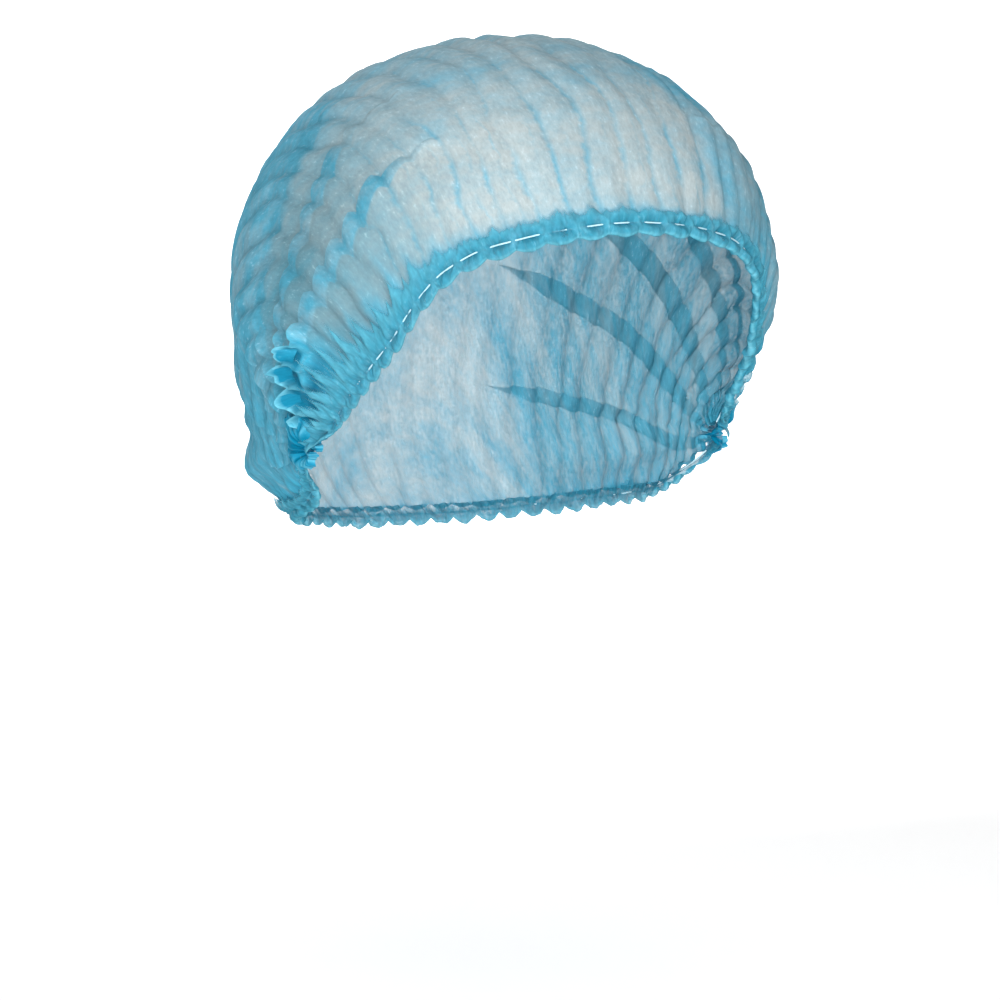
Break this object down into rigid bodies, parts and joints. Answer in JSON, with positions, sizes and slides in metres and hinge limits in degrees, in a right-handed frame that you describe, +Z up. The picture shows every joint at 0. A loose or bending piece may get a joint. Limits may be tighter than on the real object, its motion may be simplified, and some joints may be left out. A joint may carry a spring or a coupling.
{
  "type": "disposable pleated hair cap",
  "caption": "Pleated nonwoven hair cap, gathered at both ears, with ruffled front and back hems drawn in by elastic thread.",
  "frame": {"origin": "where the inside of the crown rests on top of the head, in the middle between the gathers", "axes": "+Z up, -Y the way the wearer looks, +X to the wearer's left, along the line through both gathers"},
  "size_m": [0.1768, 0.2061, 0.1675],
  "materials": {
    "crown_nonwoven": "thin translucent sky blue spunbond nonwoven, finely crinkled",
    "hem_nonwoven": "gathered layers of sky blue nonwoven",
    "gather_nonwoven": "bunched layers of sky blue nonwoven",
    "elastic": "matt white elastic thread"
  },
  "bodies": {
    "root": {"crown": "crown_nonwoven", "hem_front": "hem_nonwoven", "hem_back": "hem_nonwoven", "elastic_front": "elastic", "elastic_back": "elastic", "gather_right": "gather_nonwoven", "gather_left": "gather_nonwoven"}
  },
  "joints": []
}
